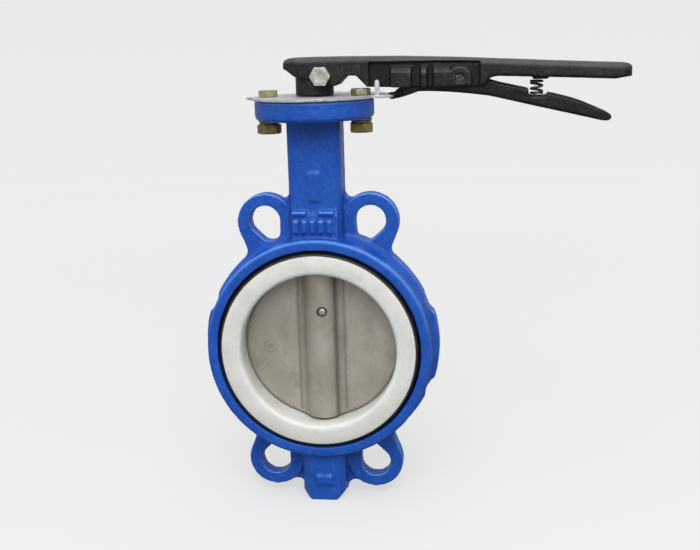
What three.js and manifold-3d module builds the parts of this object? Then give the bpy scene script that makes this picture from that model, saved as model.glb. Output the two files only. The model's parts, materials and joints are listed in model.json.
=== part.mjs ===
// Lever-operated wafer butterfly valve for a 125 mm pipe, in millimetres.
//
// X runs along the lever when the valve is shut, Y along the pipe, Z up the stem.
// The origin is where the stem's axis crosses the pipe's axis.
// Every piece is modelled in its place, with the valve shut and the trigger released.

import * as THREE from 'three';
import { mergeVertices } from 'three/addons/utils/BufferGeometryUtils.js';
import Module from 'manifold-3d';

const wasm = await Module();
wasm.setup();

// ---------------------------------------------------------------- driving dimensions

const GAP = 0.3;
const RING_SEGMENTS = 48;
const ROUND_SEGMENTS = 32;
const SMALL_SEGMENTS = 16;

const ring = {
  halfWidth: 26.5, boreRadius: 78.7, barrelRadius: 86.8, edge: 1.5,
  ribRadius: 90.6, ribHalfWidth: 6.5, ribFoot: 11, padRadius: 92.1, padHalfHeight: 34,
  scallopRadius: 16.5,
};
const pipeBolts = { circleRadius: 105, angle: 67.5 };
const slot = { outerReach: 106.3, outerRadius: 11.7, innerReach: 97.2, innerRadius: 7.8 };
const ear = {
  radius: 22.2, halfThickness: 6, webHalfThickness: 3.8, filletRadius: 6.5, filletOnNeck: 127.5,
  filletOnBoss: 123.5,
};
const neck = { halfWidth: 20.2, halfDepth: 17.5, cornerRadius: 7.5, foot: 66, top: 176 };
const flange = {
  radius: 44.7, bottom: 175, top: 189.6, lowerEdge: 2.2, upperEdge: 1.2, boltOffset: 35,
  holeRadius: 5.4,
};
const boss = { halfWidth: 17, halfDepth: 20, bottom: -126, root: -82, chamfer: 5, footChamfer: 6.4 };
const panel = { halfWidth: 17, front: 19.2, bottom: 82, slopeBottom: 103.5, slopeTop: 111 };
// Raised marks on the front, each given as its left, right, lower and upper edges.
const marks = {
  stripProud: 1.4, padProud: 1.8, neckStrip: [-4.2, 4.2, 115, 136.5],
  panelBars: [[-17, -6.6, 104.8, 107.6], [3.2, 14, 104.8, 107.6]],
  panelPad: [-16.2, -13, 91, 100.5], padPitch: 6.4, padCount: 5,
  bossPads: [[-5.6, -0.8, -112.5, -104], [1.8, 6.6, -112.5, -104]],
};
const stemBore = { radius: 12.5, bottom: -119, pocketBottom: 184.3, pocketRadius: 13.6 };

const seat = {
  halfWidth: 28, faceRadius: 75, lipRadius: 60, throatRadius: 61.8, wall: 3.4, flangeWall: 3.2,
};
const backing = { outerRadius: 78.4, halfWidth: 27.6, shoulder: 2.6 };

const stem = {
  radius: 9.5, clearRadius: 9.85, bottom: -117, shoulder: 192, top: 218.2, square: 14,
  grooveRadius: 8.3, grooveLow: 185.7, grooveHigh: 187.7,
};
const bushings = {
  lower: { low: -113, high: -83, outerRadius: 12.2 },
  middle: { low: 83, high: 104, outerRadius: 12.2 },
  upper: { low: 156, high: 184, outerRadius: 12.2 },
};
const oRing = { wire: 1.12, heights: [108.5, 112.5, 151.5] };
const retainingRing = { inner: 8.7, outer: 12.9, low: 186, high: 187.4, mouth: 8 };

const disc = {
  radius: 61.4, halfThickness: 3.6, edge: 0.6, hubRadius: 14.2, hubHalfLength: 59, hubEndRadius: 60,
};
const pin = { offset: 2, height: 27.8, frontRadius: 3.2, rearRadius: 2.8, halfLength: 13.2 };

const plate = {
  radius: 46.5, sectorRadius: 60, bottom: 189.9, top: 191.7, edgeOffset: 14, notchInner: 55.4,
  notchWidth: 7.2, notchPitch: 15, notchCount: 7, pointerReach: 51,
};
const stopTab = { reach: 48.5, inner: 11.4, thickness: 2.1, width: 3.4, top: 203 };

const flangeBolt = {
  shankRadius: 4.7, headFlats: 13, headLow: 192, headHigh: 196.6, end: 164.7,
  nutFlats: 16, nutLow: 164.3, nutHigh: 171.5, nutHole: 5.0,
  washerRadius: 8.2, washerLow: 173.4, washerHigh: 174.7, springRadius: 7.6, springLow: 171.8,
  springHigh: 173.1,
};

const lever = {
  top: 220, nose: -21.4, end: 230, bossHalfWidth: 15.2, cheekHalfWidth: 12, gripHalfWidth: 12.5,
  bossX: 0.7, bossRadius: 14.2, bossBottom: 192.3, skirtBottom: 197.2, channelHalfWidth: 7,
  socket: 14.7,
};
const cheekHollow = {
  floor: 8.7, top: 215.4, corner: 2, spans: [[42.5, 58.5], [73, 80.5], [84.5, 89.5], [101.5, 123]],
  slopeOut: 13, slopeRoot: 212.5, slopeFoot: 206.5,
};
const springLug = { from: 160.5, to: 171.5, halfWidth: 5.5, low: 200.4, root: 204 };
const clampBolt = {
  x: 7.6, z: 206.5, shankRadius: 3.8, holeRadius: 4.2, headFlats: 13, headLow: 15.6, headHigh: 21,
  nutHole: 4.1, nutThickness: 6.2, slit: 1.8,
};
const pivot = { x: 108.2, z: 202.8, radius: 2.6, hollow: 1.3, slit: 0.9, holeRadius: 2.95 };
const trigger = {
  noseHalfWidth: 3, frontHalfWidth: 6.5, gripHalfWidth: 9.4, noseReach: 56.3,
  saddle: { x: 164.5, halfWidth: 7.1, floor: 189, round: 2.5 },
};
const spring = { x: 163.4, radius: 4.4, wire: 0.62, low: 189.4, high: 200, turns: 3.4 };

// ---------------------------------------------------------------- materials

function finish(color, roughness, metalness) {
  return new THREE.MeshStandardMaterial({ color, roughness, metalness });
}

const finishes = {
  bluePaint: finish(0x2a52b2, 0.45, 0.1),
  blackRubber: finish(0x17181a, 0.8, 0),
  whiteSeat: finish(0xe4e3db, 0.5, 0),
  stainless: finish(0xa5a199, 0.42, 0.9),
  bronze: finish(0xa07a3c, 0.45, 0.9),
  zinc: finish(0xc4c0a2, 0.35, 0.9),
  brassPlate: finish(0x8c7240, 0.4, 0.9),
  plateSteel: finish(0xc6c3ba, 0.38, 0.9),
  blackCoat: finish(0x2c2e2f, 0.5, 0.2),
  springSteel: finish(0x8f8c7e, 0.35, 0.9),
  nylon: finish(0xd8d2c0, 0.6, 0),
};

// ---------------------------------------------------------------- solids and meshes

const radians = THREE.MathUtils.degToRad;

function polar(radius, degrees) {
  return [radius * Math.cos(radians(degrees)), radius * Math.sin(radians(degrees))];
}

function signedVolume(positions, triangles) {
  const [a, b, c] = [new THREE.Vector3(), new THREE.Vector3(), new THREE.Vector3()];
  let sum = 0;
  for (let i = 0; i < triangles.length; i += 3) {
    a.fromArray(positions, 3 * triangles[i]);
    b.fromArray(positions, 3 * triangles[i + 1]);
    c.fromArray(positions, 3 * triangles[i + 2]);
    sum += a.dot(b.cross(c)) / 6;
  }
  return sum;
}

// A closed three.js geometry as a solid that can be joined and cut, facing outwards.
function solidFrom(geometry) {
  const bare = geometry.clone();
  bare.deleteAttribute('normal');
  bare.deleteAttribute('uv');
  const merged = mergeVertices(bare, 1e-4);
  const positions = Float32Array.from(merged.attributes.position.array);
  const triangles = [];
  const index = merged.index.array;
  for (let i = 0; i < index.length; i += 3) {
    const [a, b, c] = [index[i], index[i + 1], index[i + 2]];
    if (a !== b && b !== c && c !== a) {
      triangles.push(a, b, c);
    }
  }
  if (signedVolume(positions, triangles) < 0) {
    triangles.reverse();
  }
  return new wasm.Manifold(new wasm.Mesh({
    numProp: 3, vertProperties: positions, triVerts: Uint32Array.from(triangles),
  }));
}

function meshOf(name, solid, material) {
  const data = solid.getMesh();
  const geometry = new THREE.BufferGeometry();
  geometry.setAttribute('position', new THREE.BufferAttribute(data.vertProperties, 3));
  geometry.setIndex(new THREE.BufferAttribute(data.triVerts, 1));
  geometry.computeVertexNormals();
  const mesh = new THREE.Mesh(geometry, material);
  mesh.name = name;
  return mesh;
}

function shapeOf(points) {
  return new THREE.Shape(points.map(([x, y]) => new THREE.Vector2(x, y)));
}

// A shape drawn in X-Y, standing between two heights.
function standing(shape, low, high, curveSegments = 8) {
  const geometry = new THREE.ExtrudeGeometry(shape, {
    depth: high - low, bevelEnabled: false, curveSegments,
  });
  return solidFrom(geometry.translate(0, 0, low));
}

// A shape drawn in X-Z, running along Y from one place to another.
function alongY(shape, from, to, curveSegments = 8) {
  const geometry = new THREE.ExtrudeGeometry(shape, {
    depth: to - from, bevelEnabled: false, curveSegments,
  });
  return solidFrom(geometry.rotateX(Math.PI / 2).translate(0, to, 0));
}

// A profile of [radius, position] points, turned about the pipe's axis.
function turnedAboutY(profile, segments = RING_SEGMENTS) {
  const points = profile.map(([radius, along]) => new THREE.Vector2(radius, along));
  return solidFrom(new THREE.LatheGeometry(points, segments));
}

// The same, turned about the stem's axis.
function turnedAboutZ(profile, segments = ROUND_SEGMENTS) {
  const points = profile.map(([radius, along]) => new THREE.Vector2(radius, along));
  return solidFrom(new THREE.LatheGeometry(points, segments).rotateX(Math.PI / 2));
}

function rodZ(radius, low, high, segments = ROUND_SEGMENTS) {
  return turnedAboutZ([[0, low], [radius, low], [radius, high], [0, high]], segments);
}

function rodY(radius, from, to, segments = SMALL_SEGMENTS) {
  return turnedAboutY([[0, from], [radius, from], [radius, to], [0, to]], segments);
}

function block(x0, x1, y0, y1, z0, z1) {
  const geometry = new THREE.BoxGeometry(x1 - x0, y1 - y0, z1 - z0);
  return solidFrom(geometry.translate((x0 + x1) / 2, (y0 + y1) / 2, (z0 + z1) / 2));
}

function tube(inner, outer, low, high, segments = ROUND_SEGMENTS) {
  return turnedAboutZ([[inner, low], [outer, low], [outer, high], [inner, high], [inner, low]],
    segments);
}

// Points on a round corner, from one angle to another about a centre.
function corner(centre, radius, fromDegrees, toDegrees, steps) {
  const points = [];
  for (let i = 0; i <= steps; i += 1) {
    const [dx, dy] = polar(radius, fromDegrees + (toDegrees - fromDegrees) * i / steps);
    points.push([centre[0] + dx, centre[1] + dy]);
  }
  return points;
}

function hexagon(flats, turn = 0) {
  const points = [];
  for (let i = 0; i < 6; i += 1) {
    points.push(polar(flats / Math.sqrt(3), 60 * i + turn));
  }
  return shapeOf(points);
}

function joined(solids) {
  return solids.reduce((whole, solid) => whole.add(solid));
}

// ---------------------------------------------------------------- valve body

// A plain barrel with a raised rib round its middle, in the plane of the ears.
function barrel() {
  const { halfWidth, boreRadius, barrelRadius, edge, ribRadius, ribHalfWidth, ribFoot } = ring;
  const half = [
    [ribRadius, ribHalfWidth - 1], [ribRadius - 0.7, ribHalfWidth], [barrelRadius, ribFoot],
    [barrelRadius, halfWidth - edge], [barrelRadius - edge, halfWidth], [boreRadius, halfWidth],
  ];
  const outline = mirroredProfile(half);
  return turnedAboutY([...outline, outline[0]]);
}

// The rib stands a little higher at the two sides, between the relief cuts for the pipe bolts.
function sidePads() {
  const { padRadius, padHalfHeight, ribHalfWidth, boreRadius } = ring;
  const band = turnedAboutY([
    [boreRadius, -ribHalfWidth], [padRadius - 1, -ribHalfWidth], [padRadius, 1 - ribHalfWidth],
    [padRadius, ribHalfWidth - 1], [padRadius - 1, ribHalfWidth], [boreRadius, ribHalfWidth],
    [boreRadius, -ribHalfWidth],
  ]);
  return band.intersect(block(-100, 100, -10, 10, -padHalfHeight, padHalfHeight));
}

function bodyRing() {
  let solid = barrel().add(sidePads());
  for (const angle of [22.5, 157.5, 202.5, 337.5]) {
    const [x, z] = polar(pipeBolts.circleRadius, angle);
    const scallop = rodY(ring.scallopRadius, -ring.halfWidth - 1, ring.halfWidth + 1, ROUND_SEGMENTS);
    solid = solid.subtract(scallop.translate([x, 0, z]));
  }
  return solid;
}

// One half of an ear web, from the neck or boss round the ear and down to the ring.
function earOutline(middleHalfWidth, filletEnd) {
  const [x, z] = polar(pipeBolts.circleRadius, pipeBolts.angle);
  const sideAngle = pipeBolts.angle - 90;
  const [lobeX, lobeZ] = polar(ear.radius, 123);
  const [sideX, sideZ] = polar(ear.radius, sideAngle);
  const [inX, inZ] = polar(1, pipeBolts.angle + 180);
  const straight = pipeBolts.circleRadius - Math.sqrt(ring.ribRadius ** 2 - ear.radius ** 2);
  const path = new THREE.Path();
  path.moveTo(middleHalfWidth, filletEnd);
  path.quadraticCurveTo(middleHalfWidth + 0.8, z + lobeZ - 2.5, x + lobeX, z + lobeZ);
  path.absarc(x, z, ear.radius, radians(123), radians(sideAngle), true);
  const stop = straight - ear.filletRadius;
  path.lineTo(x + sideX + inX * stop, z + sideZ + inZ * stop);
  const meetX = x + sideX + inX * straight;
  const meetZ = z + sideZ + inZ * straight;
  const meetAngle = THREE.MathUtils.radToDeg(Math.atan2(meetZ, meetX));
  const filletSweep = THREE.MathUtils.radToDeg(ear.filletRadius / ring.ribRadius);
  path.quadraticCurveTo(meetX, meetZ, ...polar(ring.ribRadius - 0.2, meetAngle - filletSweep));
  return path.getPoints(9).map((point) => [point.x, point.y]);
}

// A shape drawn with its first axis out along an ear's own radius, turned into that ear's place.
function inEar(outline, reach) {
  return alongY(shapeOf(outline), -reach, reach).rotate([0, -pipeBolts.angle, 0]);
}

// The slot is wide where the bolt sits and narrows towards the ring, whose rib it just cuts into.
function earSlot() {
  const { outerReach, outerRadius, innerReach, innerRadius } = slot;
  const sine = (outerRadius - innerRadius) / (outerReach - innerReach);
  const taper = THREE.MathUtils.radToDeg(Math.asin(sine));
  return inEar([
    ...corner([outerReach, 0], outerRadius, -90 - taper, 90 + taper, 16),
    ...corner([innerReach, 0], innerRadius, 90 + taper, 270 - taper, 10),
  ], ring.ribFoot + 1);
}

function earSlots() {
  const right = earSlot().add(earSlot().mirror([0, 0, 1]));
  return right.add(right.mirror([1, 0, 0]));
}

// Each ear is a thick lug. Beyond its round end, only a thinner web joins it to the neck or boss.
function earLug() {
  const { circleRadius } = pipeBolts;
  const [root, tip, outside] = [60, circleRadius + 35, -60];
  return inEar([
    [root, outside], [tip, outside], [tip, 0],
    ...corner([circleRadius, 0], ear.radius, 0, 90, 14), [root, ear.radius],
  ], ear.halfThickness);
}

function earWeb(middleHalfWidth, filletEnd) {
  const { halfThickness, webHalfThickness } = ear;
  const half = earOutline(middleHalfWidth, filletEnd);
  const mirrored = half.map(([x, z]) => [-x, z]).reverse();
  const outline = shapeOf([...half, [0, neck.foot], ...mirrored]);
  const lug = earLug();
  const lugs = alongY(outline, -halfThickness, halfThickness).intersect(lug.add(lug.mirror([1, 0, 0])));
  return alongY(outline, -webHalfThickness, webHalfThickness).add(lugs);
}

// The neck is an oblong column with large round corners.
function neckColumn() {
  const { halfWidth, halfDepth, cornerRadius, foot, top } = neck;
  const [x, y] = [halfWidth - cornerRadius, halfDepth - cornerRadius];
  return standing(shapeOf([
    ...corner([x, y], cornerRadius, 0, 90, 5), ...corner([-x, y], cornerRadius, 90, 180, 5),
    ...corner([-x, -y], cornerRadius, 180, 270, 5), ...corner([x, -y], cornerRadius, 270, 360, 5),
  ]), foot, top);
}

// The lower boss is an eight-sided column whose foot is chamfered at its two sides.
function bottomBoss() {
  const { halfWidth: w, halfDepth: d, chamfer: c, footChamfer: f, bottom, root } = boss;
  const column = standing(shapeOf([
    [w, c - d], [w, d - c], [w - c, d], [c - w, d], [-w, d - c], [-w, c - d], [c - w, -d], [w - c, -d],
  ]), bottom, root);
  const side = [[w, 0], [w, bottom + f], [w - f, bottom], [f - w, bottom], [-w, bottom + f], [-w, 0]];
  return column.intersect(alongY(shapeOf(side), -d, d));
}

function topFlange() {
  const { radius, bottom, top, lowerEdge, upperEdge } = flange;
  return turnedAboutZ([
    [0, bottom], [radius - lowerEdge, bottom], [radius, bottom + lowerEdge],
    [radius, top - upperEdge], [radius - upperEdge, top], [0, top],
  ], RING_SEGMENTS);
}

// The pad at the foot of the neck, whose upper end slopes back into the neck.
function neckPanel() {
  const { halfWidth, front, bottom, slopeBottom, slopeTop } = panel;
  const back = neck.halfDepth - 1;
  const side = shapeOf([[-front, bottom], [front, bottom], [front, slopeBottom], [back, slopeTop],
    [-back, slopeTop], [-front, slopeBottom]]);
  return alongY(side, -halfWidth, halfWidth).rotate([0, 0, 90]);
}

function raisedMark([left, right, low, high], face, proud, shift = 0) {
  return block(left + shift, right + shift, -face - proud, 0, low, high);
}

// Plain casting marks: a strip on the neck, two bars and a row of pads on the panel, and two
// pads on the lower boss.
function castingMarks() {
  const { stripProud, padProud, neckStrip, panelBars, panelPad, padPitch, padCount, bossPads } = marks;
  const row = Array.from({ length: padCount }, (_, i) => (
    raisedMark(panelPad, panel.front, padProud, i * padPitch)));
  return joined([
    raisedMark(neckStrip, neck.halfDepth, stripProud),
    ...panelBars.map((bar) => raisedMark(bar, panel.front, padProud)),
    ...row,
    ...bossPads.map((pad) => raisedMark(pad, boss.halfDepth, padProud)),
  ]);
}

function bodyCasting() {
  const outside = joined([
    bodyRing(), earWeb(neck.halfWidth, ear.filletOnNeck),
    earWeb(boss.halfWidth, ear.filletOnBoss).mirror([0, 0, 1]),
    neckColumn(), neckPanel(), bottomBoss(), topFlange(), castingMarks(),
  ]);
  const cuts = [
    earSlots(), rodY(ring.boreRadius, -ring.halfWidth - 1, ring.halfWidth + 1, RING_SEGMENTS),
    rodZ(stemBore.radius, stemBore.bottom, flange.top + 1),
    rodZ(stemBore.pocketRadius, stemBore.pocketBottom, flange.top + 1),
  ];
  for (const x of [-flange.boltOffset, flange.boltOffset]) {
    const hole = rodZ(flange.holeRadius, flange.bottom - 1, flange.top + 1, SMALL_SEGMENTS);
    cuts.push(hole.translate([x, 0, 0]));
  }
  return outside.subtract(joined(cuts));
}

// ---------------------------------------------------------------- seat

// The liner's inner wall, from the middle of the throat to the rim of its face.
function linerHalfProfile() {
  const [front, lip] = [seat.halfWidth, seat.lipRadius];
  return [
    [seat.throatRadius, 0], [seat.throatRadius - 0.3, 6.5], [seat.throatRadius - 1, 12.5],
    [lip, 19], [lip, 24.4], [lip + 1.8, 27], [lip + 5, front], [seat.faceRadius, front],
    [seat.faceRadius, front - seat.flangeWall],
  ];
}

function mirroredProfile(half) {
  const front = half.map(([radius, along]) => [radius, -along]).reverse();
  return [...front, ...half.slice(half[0][1] === 0 ? 1 : 0)];
}

function seatLiner() {
  const outerRadius = seat.throatRadius + seat.wall;
  const shoulder = seat.halfWidth - seat.flangeWall;
  const inner = mirroredProfile(linerHalfProfile());
  const profile = [...inner, [outerRadius, shoulder], [outerRadius, -shoulder], inner[0]];
  return turnedAboutY(profile).subtract(rodZ(stem.clearRadius, -90, 90));
}

function seatBacking() {
  const innerRadius = seat.throatRadius + seat.wall + GAP;
  const shoulder = seat.halfWidth - seat.flangeWall - GAP;
  const rimRadius = seat.faceRadius + GAP;
  const half = [
    [backing.outerRadius, 0], [backing.outerRadius, backing.halfWidth - backing.shoulder],
    [rimRadius + 0.7, backing.halfWidth], [rimRadius, backing.halfWidth],
    [rimRadius, shoulder], [innerRadius, shoulder],
  ];
  const outline = mirroredProfile(half);
  return turnedAboutY([...outline, outline[0]]).subtract(rodZ(stemBore.radius, -90, 90));
}

// ---------------------------------------------------------------- stem, disc and their bearings

function stemShaft() {
  const { radius, bottom, shoulder, top, grooveRadius, grooveLow, grooveHigh } = stem;
  let solid = turnedAboutZ([
    [0, bottom], [radius - 1, bottom], [radius, bottom + 1], [radius, grooveLow],
    [grooveRadius, grooveLow], [grooveRadius, grooveHigh], [radius, grooveHigh],
    [radius, shoulder], [0, shoulder],
  ]);
  const half = stem.square / 2;
  const square = block(-half, half, -half, half, shoulder - 1, top);
  solid = solid.add(square.intersect(rodZ(radius - 0.2, shoulder - 1, top)));
  const boltNotch = rodY(clampBolt.holeRadius, -10, 10).translate([clampBolt.x, 0, clampBolt.z]);
  return solid.subtract(boltNotch).subtract(pinHole());
}

function pinHole() {
  const clear = pin.frontRadius + GAP;
  return rodY(clear, -disc.hubRadius - 1, disc.hubRadius + 1).translate([pin.offset, 0, pin.height]);
}

function taperPin() {
  const { frontRadius, rearRadius, halfLength } = pin;
  const profile = [
    [0, -halfLength - 0.5], [frontRadius - 0.8, -halfLength - 0.4], [frontRadius, -halfLength + 0.4],
    [rearRadius, halfLength], [0, halfLength],
  ];
  return turnedAboutY(profile, SMALL_SEGMENTS).translate([pin.offset, 0, pin.height]);
}

// The hub's section across the stem: a round barrel that sweeps out into the flat disc.
function hubSection() {
  const { hubRadius, halfThickness } = disc;
  const skirt = hubRadius + 8.5;
  const shape = new THREE.Shape();
  shape.moveTo(skirt, 1 - halfThickness);
  shape.lineTo(skirt, halfThickness - 1);
  shape.quadraticCurveTo(hubRadius + 1.4, halfThickness, hubRadius * 0.87, hubRadius * 0.5);
  shape.absarc(0, 0, hubRadius, radians(30), radians(150), false);
  shape.quadraticCurveTo(-hubRadius - 1.4, halfThickness, -skirt, halfThickness - 1);
  shape.lineTo(-skirt, 1 - halfThickness);
  shape.quadraticCurveTo(-hubRadius - 1.4, -halfThickness, -hubRadius * 0.87, -hubRadius * 0.5);
  shape.absarc(0, 0, hubRadius, radians(210), radians(330), false);
  shape.quadraticCurveTo(hubRadius + 1.4, -halfThickness, skirt, 1 - halfThickness);
  return shape;
}

function valveDisc() {
  const { radius, halfThickness, edge, hubHalfLength, hubEndRadius, hubRadius } = disc;
  const blade = turnedAboutY([
    [0, -halfThickness], [radius - 2.2, -halfThickness], [radius - edge, 1.2 - halfThickness],
    [radius, 0], [radius - edge, halfThickness - 1.2], [radius - 2.2, halfThickness],
    [0, halfThickness],
  ]);
  const barrel = standing(hubSection(), -hubHalfLength, hubHalfLength, 7);
  const hubEnds = rodY(hubEndRadius, -hubRadius - 1, hubRadius + 1, RING_SEGMENTS);
  const bore = rodZ(stem.clearRadius, -radius, radius);
  return blade.add(barrel.intersect(hubEnds)).subtract(bore).subtract(pinHole());
}

function bushing({ low, high, outerRadius }) {
  return tube(stem.clearRadius, outerRadius, low, high);
}

function sealRing(height) {
  const middle = (stem.clearRadius + bushings.middle.outerRadius) / 2;
  const section = corner([middle, height], oRing.wire, 0, 360, 6);
  section[section.length - 1] = section[0];
  return turnedAboutZ(section, SMALL_SEGMENTS + 4);
}

function stemRetainingRing() {
  const { inner, outer, low, high, mouth } = retainingRing;
  const half = mouth / 2;
  return tube(inner, outer, low, high).subtract(block(-half, half, 0, outer + 1, low - 1, high + 1));
}

// ---------------------------------------------------------------- top plate and its fasteners

function plateOutline() {
  const { radius, sectorRadius, edgeOffset, pointerReach } = plate;
  const reach = Math.sqrt(sectorRadius ** 2 - edgeOffset ** 2);
  const join = Math.sqrt(radius ** 2 - edgeOffset ** 2);
  const sectorEdge = THREE.MathUtils.radToDeg(Math.asin(edgeOffset / sectorRadius));
  const roundEdge = THREE.MathUtils.radToDeg(Math.asin(edgeOffset / radius));
  const shape = new THREE.Shape();
  shape.moveTo(join, -edgeOffset);
  shape.lineTo(reach, -edgeOffset);
  shape.absarc(0, 0, sectorRadius, radians(-sectorEdge), radians(90 + sectorEdge), false);
  shape.lineTo(-edgeOffset, join);
  shape.absarc(0, 0, radius, radians(90 + roundEdge), radians(168), false);
  shape.lineTo(-pointerReach, 2.2);
  shape.lineTo(-pointerReach, -2.2);
  shape.absarc(0, 0, radius, radians(192), radians(360 - roundEdge), false);
  return shape;
}

function raisedTab() {
  const { reach, inner, thickness, width, top } = stopTab;
  const round = corner([reach, top - width / 2], width / 2, 0, 180, 6);
  const outline = shapeOf([...round, [reach - width / 2, plate.bottom], [reach + width / 2, plate.bottom]]);
  return alongY(outline, -inner - thickness, -inner);
}

function notchPlate() {
  const { bottom, top, notchInner, notchWidth, notchPitch, notchCount, sectorRadius } = plate;
  let solid = standing(plateOutline(), bottom, top, 14);
  const endTab = raisedTab().mirror([0, 1, 0]).rotate([0, 0, 90]);
  solid = solid.add(raisedTab()).add(endTab);
  const half = notchWidth / 2;
  for (let i = 0; i < notchCount; i += 1) {
    const notch = block(notchInner, sectorRadius + 2, -half, half, bottom - 1, top + 1);
    solid = solid.subtract(notch.rotate([0, 0, i * notchPitch]));
  }
  solid = solid.subtract(rodZ(stem.radius + 1.2, bottom - 1, top + 1));
  for (const x of [-flange.boltOffset, flange.boltOffset]) {
    const hole = rodZ(flange.holeRadius, bottom - 1, top + 1, SMALL_SEGMENTS);
    solid = solid.subtract(hole.translate([x, 0, 0]));
  }
  return solid;
}

// A hexagonal head or nut with its corners turned down to a cone.
function hexBody(flats, low, high, turn = 0) {
  const corners = flats / Math.sqrt(3);
  const cone = turnedAboutZ([
    [0, low], [corners - 0.8, low], [corners + 0.1, low + 0.8], [corners + 0.1, high - 0.8],
    [corners - 0.8, high], [0, high],
  ], SMALL_SEGMENTS);
  return standing(hexagon(flats, turn), low, high).intersect(cone);
}

function flangeScrew(turn) {
  const { shankRadius, headFlats, headLow, headHigh, end } = flangeBolt;
  const shank = turnedAboutZ([
    [0, end], [shankRadius - 0.8, end], [shankRadius, end + 0.8], [shankRadius, headLow + 1],
    [0, headLow + 1],
  ], SMALL_SEGMENTS);
  return hexBody(headFlats, headLow, headHigh, turn).add(shank);
}

function flangeNut(turn) {
  const { nutFlats, nutLow, nutHigh, nutHole } = flangeBolt;
  return hexBody(nutFlats, nutLow, nutHigh, turn)
    .subtract(rodZ(nutHole, nutLow - 1, nutHigh + 1, SMALL_SEGMENTS));
}

function flangeWasher() {
  const { washerRadius, washerLow, washerHigh, nutHole } = flangeBolt;
  return tube(nutHole + 0.2, washerRadius, washerLow, washerHigh, SMALL_SEGMENTS);
}

function flangeSpringWasher() {
  const { springRadius, springLow, springHigh, nutHole } = flangeBolt;
  const split = block(-0.5, 0.5, 0, springRadius + 1, springLow - 1, springHigh + 1);
  return tube(nutHole + 0.2, springRadius, springLow, springHigh, SMALL_SEGMENTS).subtract(split);
}

// ---------------------------------------------------------------- lever

function leverSide() {
  const { top, nose, end, skirtBottom } = lever;
  const shape = new THREE.Shape();
  shape.moveTo(nose, 213);
  shape.quadraticCurveTo(nose, top - 1.4, nose + 4.5, top - 0.4);
  shape.lineTo(nose + 9, top);
  shape.lineTo(20, top);
  shape.lineTo(64, top - 0.7);
  shape.lineTo(108, 217.4);
  shape.lineTo(180, 213.1);
  shape.lineTo(end - 5, 210.7);
  shape.quadraticCurveTo(end, 210.3, end, 206);
  shape.lineTo(end, 201.4);
  shape.lineTo(end - 5, 200.8);
  shape.lineTo(end - 12, 199.7);
  shape.lineTo(173, 201.9);
  shape.lineTo(136, 203.5);
  shape.quadraticCurveTo(129.5, 203.3, 127, 199.6);
  shape.quadraticCurveTo(124.5, skirtBottom - 0.6, 118, skirtBottom - 0.8);
  shape.lineTo(63, skirtBottom - 0.3);
  shape.lineTo(41, skirtBottom + 0.6);
  shape.lineTo(33, 206.2);
  shape.lineTo(25.5, 206.2);
  shape.lineTo(18.5, 199.2);
  shape.lineTo(13.5, 199.2);
  shape.lineTo(12.5, 202);
  shape.lineTo(-12, 206.4);
  shape.lineTo(-18.6, 211);
  shape.lineTo(nose, 212);
  return shape;
}

// The lever seen from above, as half widths along its length.
function leverPlan() {
  const { nose, end, bossHalfWidth, cheekHalfWidth, gripHalfWidth } = lever;
  const shape = new THREE.Shape();
  shape.moveTo(nose, -7);
  shape.quadraticCurveTo(nose, -11, nose + 5, -12.6);
  shape.lineTo(-12, -bossHalfWidth);
  shape.lineTo(14, -bossHalfWidth);
  shape.quadraticCurveTo(24, -bossHalfWidth, 34, -cheekHalfWidth);
  shape.lineTo(58, -cheekHalfWidth);
  shape.quadraticCurveTo(90, -12.6, 122, -gripHalfWidth);
  shape.lineTo(end - 8, -gripHalfWidth);
  shape.quadraticCurveTo(end, -gripHalfWidth, end, -4);
  const near = shape.getPoints(6).map((point) => [point.x, point.y]);
  const far = near.map(([x, y]) => [x, -y]).reverse();
  return shapeOf([...near, ...far]);
}

function leverChannel() {
  const { channelHalfWidth, skirtBottom } = lever;
  const side = [[24, 150], [24, 211], [40, 213], [60, 213], [110, 211], [132, 206.4],
    [135, skirtBottom], [135, 150]];
  return alongY(shapeOf(side), -channelHalfWidth, channelHalfWidth);
}

// The cheeks are hollowed under the top rib, which leaves upright ribs and the pivot boss.
// The ribs slope outwards from the hollow's floor at their upper ends.
function cheekPockets() {
  const { floor, top, corner: round, spans, slopeOut, slopeRoot, slopeFoot } = cheekHollow;
  const [below, outside] = [190, 20];
  const pockets = spans.map(([from, to]) => {
    const outline = new THREE.Shape();
    outline.moveTo(from, below);
    outline.lineTo(to, below);
    outline.lineTo(to, top - 2 * round);
    outline.quadraticCurveTo(to, top, to - round, top);
    outline.lineTo(from + round, top);
    outline.quadraticCurveTo(from, top, from, top - 2 * round);
    return alongY(outline, floor, outside, 4);
  });
  const slope = shapeOf([[-floor, top], [-floor, slopeRoot], [-slopeOut, slopeFoot],
    [-outside, slopeFoot], [-outside, top]]);
  const [start, end] = [spans[0][0], spans[spans.length - 1][1]];
  const shelf = alongY(slope, -end, -start).rotate([0, 0, 90]);
  const far = joined(pockets);
  return far.add(far.mirror([0, 1, 0])).add(shelf).add(shelf.mirror([0, 1, 0]));
}

function pivotBosses() {
  const outline = new THREE.Shape();
  outline.moveTo(100, 197.2);
  outline.lineTo(116.4, 197.2);
  outline.lineTo(116.4, pivot.z);
  outline.absarc(pivot.x, pivot.z, 8.2, 0, Math.PI, false);
  const near = alongY(outline, -12.2, -lever.channelHalfWidth, 10);
  return near.add(near.mirror([0, 1, 0]));
}

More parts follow.
